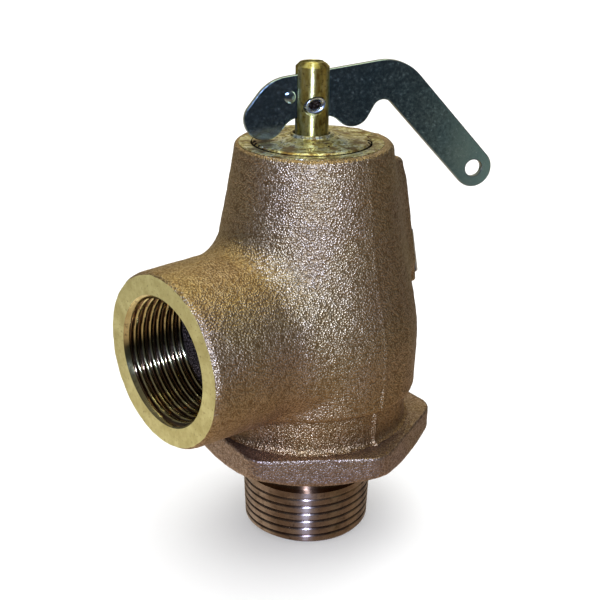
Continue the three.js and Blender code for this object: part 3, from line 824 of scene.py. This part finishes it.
# ---- nameplate ----
def nameplate():
    """A blank plate with a raised border, held by two drive screws."""
    corners = [(1, -1), (1, 1), (-1, 1), (-1, -1)]

    def outline(inset):
        return belt([(x * 11, y * 5.5, 1 - inset) for x, y in corners], 32)

    outlines = [outline(0.12), outline(0), outline(0), outline(0.12), outline(0.7), outline(0.8)]
    plate = make_object("blank_nameplate", *lofted(outlines, [0.05, 0.12, 0.68, 0.8, 0.8, 0.62]), (PLATE,), pad_place())
    install(smooth(plate), "root", "plate", "nameplate")
    for side, node in ((-1, "nameplate_screw_left"), (1, "nameplate_screw_right")):
        profile = [(0, -3), (0.9, -2.6), (0.9, 0.6), (1.7, 0.6, 0.15)]
        profile += [(1.7 * math.cos(a), 0.75 + 0.75 * math.sin(a)) for a in np.linspace(0.1, 1.4, 6)] + [(0, 1.5)]
        place = pad_place() @ Matrix.Translation((9.5 * side, 0, 0))
        screw = make_object(node.replace("nameplate", "plate_drive"), *turned(softened(profile), 32), (STAINLESS,), place)
        install(smooth(screw), "root", "stainless", node)


# ---- top works ----
def compression_screw():
    """The cap: a slightly crowned face that rises to a low collar, with punch marks and staked metal at its rim."""
    radius, top = screw_high.x, screw_high.z - 1.45
    profile = softened([
        (4.45, screw_low.z), (radius - 1, screw_low.z), (radius, screw_low.z + 1), (radius, top - 0.55, 0.2),
        (radius - 0.45, top - 0.12, 0.2), (9.5, top + 0.1, 2.5), (6.4, top + 1.0, 0.5), (5.6, top + 1.1, 0.2),
        (5.2, screw_high.z + 0.3, 0.2), (4.7, screw_high.z + 0.3, 0.1), (4.45, screw_high.z),
    ])
    screw = make_object("compression_cap", *turned(profile, 160, closed=True), (CAP_METAL, SHADED_INSIDE))
    # The cap's outer edge gets the near-black painted shade.
    for polygon in screw.data.polygons:
        if math.hypot(*polygon.center[:2]) > (radius - 0.12) * MM:
            polygon.material_index = 1
    marks = [
        (-122, 8.2, 0.32), (-105, 9.0, 0.32), (150, 14.3, 1.0), (158, 14.5, 0.9),
        (167, 14.4, 0.7), (-52, 14.4, 0.9), (-44, 14.3, 1.0), (-33, 14.5, 0.8),
    ]
    # Each dent gets the near-black painted shade.
    for degrees, distance, size in marks:
        angle = math.radians(degrees)
        dent = [(0, -size)] + [(size * math.cos(a), size * math.sin(a)) for a in np.linspace(-1.3, 1.3, 8)] + [(0, size)]
        place = Matrix.Translation((distance * math.cos(angle), distance * math.sin(angle), top + 0.25 * size))
        combine(screw, marked(make_object("dent", *turned(dent, 16), (CAP_METAL, SHADED_INSIDE), place), 1), "DIFFERENCE")
    return install(smooth(screw), "root", "turned_brass", "compression_screw")


def stem():
    """The lifting stem, forked at the top for the lever."""
    top = stem_high.z
    profile = softened([
        (0, stem_low.z), (STEM_R - 0.8, stem_low.z), (STEM_R, stem_low.z + 0.8), (STEM_R, 58.2), (3.3, 58.2), (3.3, 59.6),
        (STEM_R, 59.6), (STEM_R, 62.3), (6.2, 62.3, 0.2), (6.2, 64.3, 0.2), (STEM_R, 64.3),
        (STEM_R, top - 1.15, 0.3), (STEM_R - 1.05, top - 0.12, 0.35), (STEM_R - 2.4, top), (0, top),
    ])
    bar = make_object("lifting_stem", *turned(profile, 128), (STEM_METAL,))
    half = SLOT_WIDTH / 2
    pin_z = lever_place().translation.z
    slot_outline = softened([(-9, SLOT_BOTTOM - pin_z), (9, SLOT_BOTTOM - pin_z), (9, 14), (-9, 14)])
    slot = make_object("slot", *lofted([slot_outline, slot_outline], [-half, half]), (STEM_METAL,), lever_place())
    combine(bar, slot, "DIFFERENCE")
    bore = make_object("bore", *turned([(0, -9), (2.05, -9), (2.05, 9), (0, 9)], 64), (STEM_METAL,), lever_place())
    combine(bar, bore, "DIFFERENCE")
    for side in (-1, 1):
        mouth = [(0, 0), (2.05, 0), (2.2, 2.4), (2.75, STEM_R - 0.5), (2.9, STEM_R + 1), (0, STEM_R + 1)]
        place = lever_place() @ Matrix.Translation((-0.35, 0, 0)) @ Matrix.Rotation(math.radians(18), 4, "Z")
        place = place @ Matrix.Diagonal((1.12, 0.78, side, 1))
        combine(bar, make_object("mouth", *turned(mouth, 64), (STEM_METAL,), place), "DIFFERENCE")
    return install(smooth(bar), "stem_assembly", "turned_brass", "stem")


def lever_pin():
    """A hollow rivet, flared inside the mouths of the stem's cross hole."""
    half = [(0, 2.3), (1.3, 2.3), (1.35, 2.75), (1.75, 3.15, 0.1), (2.3, 3.3, 0.1), (2.15, 2.95), (PIN_R, 2.5), (PIN_R, 0)]
    profile = softened(half + [(r, -z, *more) for r, z, *more in half[-2::-1]])
    place = lever_place() @ Matrix.Rotation(math.radians(18), 4, "Z") @ Matrix.Diagonal((1.1, 0.78, 1, 1))
    pin = make_object("hollow_pin", *turned(profile, 48), (STAINLESS, SHADED_INSIDE), place)
    # The pin's hollow gets the near-black painted shade.
    for polygon in pin.data.polygons:
        local = place.inverted() @ (polygon.center / MM)
        if math.hypot(local.x, local.y) < 1.34:
            polygon.material_index = 1
    return install(smooth(pin), "stem_assembly", "stainless", "lever_pin")


def lever():
    """The flat test lever: stamped plate with slightly rounded edges, a chain hole and a locating nub."""
    circles = [
        (*CHAIN_HOLE, 4.8), (18, -2.3, 12), (-5.2, -3.6, 10.2), (-11.7, -3.45, 5), (-3, -8, -4.7), (3.4, -7.5, -4.3),
        (10, -1.6, 4.5), (17.7, -2.5, -2.65),
    ]
    half = LEVER_THICKNESS / 2

    def outline(inset):
        return belt([(x, y, r - inset) for x, y, r in circles], 96)

    levels = [(-half, LEVER_EDGE), (-half + 0.07, 0.07), (-half + LEVER_EDGE, 0), (half - LEVER_EDGE, 0),
              (half - 0.07, 0.07), (half, LEVER_EDGE)]
    plate = make_object("test_lever_plate", *lofted([outline(i) for _, i in levels], [z for z, _ in levels]), (ZINC,),
                        lever_place())
    nub = [(0, 0), (1.5, 0)] + [(1.5 * math.cos(a), half - 0.05 + 0.4 * math.sin(a)) for a in np.linspace(0, 1.4, 7)]
    nub += [(0, half + 0.35)]
    place = lever_place() @ Matrix.Translation((*LEVER_NUB, 0))
    combine(plate, make_object("nub", *turned(nub, 40), (ZINC,), place), "UNION")
    for centre, radius in ((CHAIN_HOLE, CHAIN_HOLE_R), ((0, 0), PIN_R + 0.3)):
        edge = LEVER_EDGE
        hole = [(0, -2), (radius + edge, -2), (radius + edge, -half), (radius, -half + edge), (radius, half - edge),
                (radius + edge, half), (radius + edge, 2), (0, 2)]
        place = lever_place() @ Matrix.Translation((*centre, 0))
        combine(plate, make_object("hole", *turned(hole, 64), (ZINC,), place), "DIFFERENCE")
    return install(smooth(plate, 20), "test_lever", "zinc_plate", "lever")


# ---- spring set ----
def spring():
    """The compression spring, with closed ends."""
    wire, coil, coils, closed_pitch = 1.0, 9.3, 5.5, 2.35
    low, high = spring_low.z + wire, spring_high.z - wire
    middle = high - low - 2 * closed_pitch
    path = []
    for i in range(int(coils * 48) + 1):
        turns = i / 48
        rise = min(turns, 1) * closed_pitch + np.clip((turns - 1) / (coils - 2), 0, 1) * middle
        rise += max(turns - coils + 1, 0) * closed_pitch
        path.append(Vector((coil * math.cos(TURN * turns), coil * math.sin(TURN * turns), low + rise)))
    made = make_object("coil_spring", *swept(path, wire), (STEEL,))
    smooth(made, 40)
    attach(made, "root")
    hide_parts("spring")
    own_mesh(made)


def spring_step(name, node, face, direction, body):
    def at(offset):
        return face + direction * offset

    profile = softened([
        (4.4, at(-2)), (6.8, at(-2), 0.2), (7.4, at(-1.4), 0.2), (7.4, at(0)), (11.4, at(0), 0.25), (11.4, at(1.8), 0.3),
        (10.4, at(2.8), 0.3), (4.4, at(2.8)),
    ])
    step = make_object(name, *turned(profile, 96, closed=True), (INNER_BRASS,))
    return install(smooth(step), body, "turned_brass", node)


# ---- disc assembly ----
def disc_holder():
    low, top = holder_low.z, holder_high.z
    profile = softened([
        (2.5, 49.9), (11.7, 49.9), (11.7, low, 0.1), (13.6, low, 0.3), (13.6, 51.8, 0.4), (12.6, 52.8, 0.4),
        (8.4, 52.8, 0.8), (7.4, 54.2, 0.5), (7.4, top, 0.4), (4.35, top, 0.4), (4.35, 59.6), (5.65, 59.6), (5.65, 58.2),
        (4.35, 58.2), (4.35, 52), (2.5, 52),
    ])
    holder = make_object("seat_disc_holder", *turned(profile, 96, closed=True), (INNER_BRASS,))
    return install(smooth(holder), "disc_assembly", "turned_brass", "disc_holder")


def seat_disc():
    profile = softened([(2.5, 47.3), (11.4, 47.3, 0.3), (11.4, 49.7, 0.3), (2.5, 49.7)])
    disc = make_object("soft_seat_disc", *turned(profile, 96, closed=True), (SEAT,))
    return install(smooth(disc), "disc_assembly", "soft_seat", "seat_disc")


def disc_guide():
    """The winged guide that keeps the disc square in the throat."""
    low, top = guide_low.z, guide_high.z
    hub = softened([
        (0, low), (3.0, low, 0.5), (3.0, 45.4, 0.6), (6.6, 45.4, 0.3), (6.6, 47, 0.2), (2.2, 47), (2.2, top, 0.3), (0, top),
    ])
    guide = make_object("wing_guide", *turned(hub, 64), (INNER_BRASS,))
    for i in range(3):
        outline = softened([(0.5, -1, 0.1), (9.1, -1, 0.3), (9.1, 1, 0.3), (0.5, 1, 0.1)])
        levels = [outline, outline]
        place = Matrix.Rotation((i + 0.5) * TURN / 3, 4, "Z")
        wing = make_object("wing", *lofted(levels, [low + 0.02, 43.4]), (INNER_BRASS,), place)
        combine(guide, wing, "UNION")
    return install(smooth(guide), "disc_assembly", "turned_brass", "disc_guide")


def thrust_ball():
    centre = sum(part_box("thrust_ball"), Vector()) / 2 / MM
    arc = [(1.9 * math.cos(a), centre.z + 1.9 * math.sin(a)) for a in np.linspace(-1.5, 1.5, 25)]
    ball = make_object("steel_ball", *turned([(0, centre.z - 1.9)] + arc + [(0, centre.z + 1.9)], 48), (STAINLESS,))
    return install(smooth(ball, 60), "disc_assembly", "stainless", "thrust_ball")


def retaining_ring():
    profile = softened([(3.6, 58.5, 0.1), (5.35, 58.5, 0.15), (5.35, 59.3, 0.15), (3.6, 59.3, 0.1)])
    ring = make_object("snap_ring", *turned(profile, 64, closed=True), (STEEL,))
    outline = [(2, -1.2), (8, -1.2), (8, 1.2), (2, 1.2)]
    combine(ring, make_object("gap", *lofted([outline, outline], [57, 61]), (STEEL,)), "DIFFERENCE")
    return install(smooth(ring), "disc_assembly", "spring_steel", "stem_retaining_ring")


# ---- camera, floor and lights ----
def add_camera():
    camera = bpy.data.cameras.new("camera")
    camera.lens = CAMERA_LENS
    camera.sensor_width = 36
    camera.clip_start = 0.01
    made = bpy.data.objects.new("camera", camera)
    bpy.context.scene.collection.objects.link(made)
    spot = Vector((-math.sin(CAMERA_HEADING), -math.cos(CAMERA_HEADING), 0)) * CAMERA_DISTANCE
    spot.z = CAMERA_HEIGHT
    turn = Matrix.Rotation(-CAMERA_HEADING - CAMERA_PAN, 4, "Z") @ Matrix.Rotation(TURN / 4 - CAMERA_TILT, 4, "X")
    made.matrix_world = Matrix.Translation(spot * MM) @ turn @ Matrix.Rotation(CAMERA_ROLL, 4, "Z")
    bpy.context.scene.camera = made


def area_light(name, position, target, size, power, colour):
    """A square lamp that shows on the metal but doesn't light the floor."""
    light = bpy.data.lights.new(name, "AREA")
    light.size = size
    light.energy = power
    light.color = colour
    made = bpy.data.objects.new(name, light)
    made.location = position
    made.rotation_mode = "QUATERNION"
    made.rotation_quaternion = (Vector(target) - Vector(position)).to_track_quat("-Z", "Y")
    made.visible_camera = False
    made.visible_diffuse = False
    bpy.context.scene.collection.objects.link(made)


def add_floor():
    """A pale floor that rises like a bowl far away. The metal mirrors the sky instead of it."""
    finish = Finish("pale_floor", Roughness=0.9, Emission_Color=(1, 1, 1, 1), Emission_Strength=0.3)
    colour = finish.ramp(finish.noise(400, detail=2), (0.3, (0.64, 0.64, 0.64)), (0.7, (0.67, 0.67, 0.67)))
    bowl = [(0, 0), (1500, 0), (2500, 250), (4500, 1800), (5500, 3600)]
    dish = [(r, z - 1) for r, z in bowl] + bowl[::-1]
    floor = make_object("floor", *turned(dish, 96), (finish.done(Base_Color=colour),))
    floor.visible_glossy = False
    smooth(floor, 60)


def sky():
    """A dim room by elevation, with soft bright areas in it."""
    world = bpy.data.worlds.new("studio")
    bpy.context.scene.world = world
    world.use_nodes = True
    nodes, link = world.node_tree.nodes, world.node_tree.links.new
    direction = nodes.new("ShaderNodeTexCoord").outputs["Generated"]
    split = nodes.new("ShaderNodeSeparateXYZ")
    link(direction, split.inputs["Vector"])
    level = nodes.new("ShaderNodeMapRange")
    level.inputs["From Min"].default_value = -1
    link(split.outputs["Z"], level.inputs["Value"])
    ramp = nodes.new("ShaderNodeValToRGB")
    link(level.outputs["Result"], ramp.inputs["Fac"])
    elements = ramp.color_ramp.elements
    while len(elements) < len(SKY):
        elements.new(1.0)
    for element, (sine, colour) in zip(elements, SKY):
        element.position = (sine + 1) / 2
        element.color = (*colour, 1)
    total = ramp.outputs["Color"]
    for centre, inner, outer, colour in GLOWS:
        nearness = nodes.new("ShaderNodeVectorMath")
        nearness.operation = "DOT_PRODUCT"
        link(direction, nearness.inputs[0])
        nearness.inputs[1].default_value = Vector(centre).normalized()
        glow = nodes.new("ShaderNodeMapRange")
        glow.interpolation_type = "SMOOTHSTEP"
        glow.inputs["From Min"].default_value = math.cos(math.radians(outer))
        glow.inputs["From Max"].default_value = math.cos(math.radians(inner))
        link(nearness.outputs["Value"], glow.inputs["Value"])
        tint = nodes.new("ShaderNodeVectorMath")
        tint.operation = "SCALE"
        tint.inputs[0].default_value = colour
        link(glow.outputs["Result"], tint.inputs["Scale"])
        both = nodes.new("ShaderNodeVectorMath")
        link(total, both.inputs[0])
        link(tint.outputs["Vector"], both.inputs[1])
        total = both.outputs["Vector"]
    link(total, nodes["Background"].inputs["Color"])


def add_lights():
    heading = Vector((-math.sin(CAMERA_HEADING), -math.cos(CAMERA_HEADING), 0))
    middle = (0, 0, 0.07)
    area_light("key", heading * 0.70 + Vector((0, 0, 0.36)), middle, KEY_SIZE, KEY, KEY_COLOUR)
    area_light("overhead", (0.05, 0.1, 0.9), middle, 0.7, OVERHEAD, OVERHEAD_COLOUR)
    sun = bpy.data.lights.new("sun", "SUN")
    sun.energy = SUN
    sun.angle = math.radians(75)
    made = bpy.data.objects.new("sun", sun)
    made.visible_glossy = False
    bpy.context.scene.collection.objects.link(made)


valve_body()
inlet_nozzle()
nameplate()
compression_screw()
stem()
lever_pin()
lever()
spring()
spring_step("top_spring_step", "upper_spring_step", spring_high.z + 0.3, 1, "root")
spring_step("bottom_spring_step", "lower_spring_step", spring_low.z - 0.3, -1, "disc_assembly")
disc_holder()
seat_disc()
disc_guide()
thrust_ball()
retaining_ring()
add_camera()
add_floor()
add_lights()
sky()
bpy.context.scene.view_settings.view_transform = "Standard"
